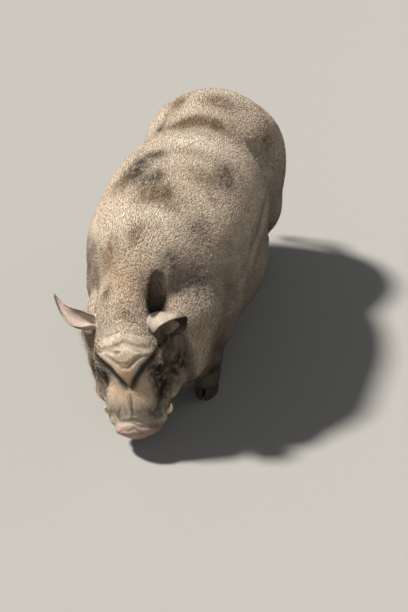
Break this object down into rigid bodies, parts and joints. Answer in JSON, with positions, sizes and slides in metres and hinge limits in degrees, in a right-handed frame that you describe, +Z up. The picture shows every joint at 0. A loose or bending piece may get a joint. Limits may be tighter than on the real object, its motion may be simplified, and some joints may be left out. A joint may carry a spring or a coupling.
{
  "type": "pot-bellied pig",
  "caption": "Life-size pot-bellied pig standing with its head lowered to drink, with cupped ears, tusks, cloven feet and a tufted tail, as a still museum model.",
  "frame": {"origin": "on the floor under the middle of the bounding box", "axes": "+Z up; the pig faces -Y, and its left side is +X"},
  "size_m": [0.4646, 1.0842, 0.5751],
  "materials": {
    "hide": "matte, sparse bristle over wrinkled skin",
    "ear_skin": "matte",
    "snout_skin": "slightly moist",
    "claw_horn": "worn horn",
    "tusk_ivory": "polished, stained at the root",
    "eye": "wet gloss",
    "tail_bristle": "coarse bristle"
  },
  "bodies": {
    "root": {"torso": "hide", "neck": "hide", "head": "hide", "snout": "snout_skin", "foreleg_left": "hide", "foreleg_right": "hide", "hindleg_left": "hide", "hindleg_right": "hide", "ear_left": "ear_skin", "ear_right": "ear_skin", "eye_left": "eye", "eye_right": "eye", "tusk_left": "tusk_ivory", "tusk_right": "tusk_ivory", "tail": "tail_bristle", "claw_fore_left_inner": "claw_horn", "claw_fore_left_outer": "claw_horn", "claw_fore_right_inner": "claw_horn", "claw_fore_right_outer": "claw_horn", "claw_hind_left_inner": "claw_horn", "claw_hind_left_outer": "claw_horn", "claw_hind_right_inner": "claw_horn", "claw_hind_right_outer": "claw_horn", "dewclaw_fore_left_inner": "claw_horn", "dewclaw_fore_left_outer": "claw_horn", "dewclaw_fore_right_inner": "claw_horn", "dewclaw_fore_right_outer": "claw_horn", "dewclaw_hind_left_inner": "claw_horn", "dewclaw_hind_left_outer": "claw_horn", "dewclaw_hind_right_inner": "claw_horn", "dewclaw_hind_right_outer": "claw_horn"}
  },
  "joints": []
}
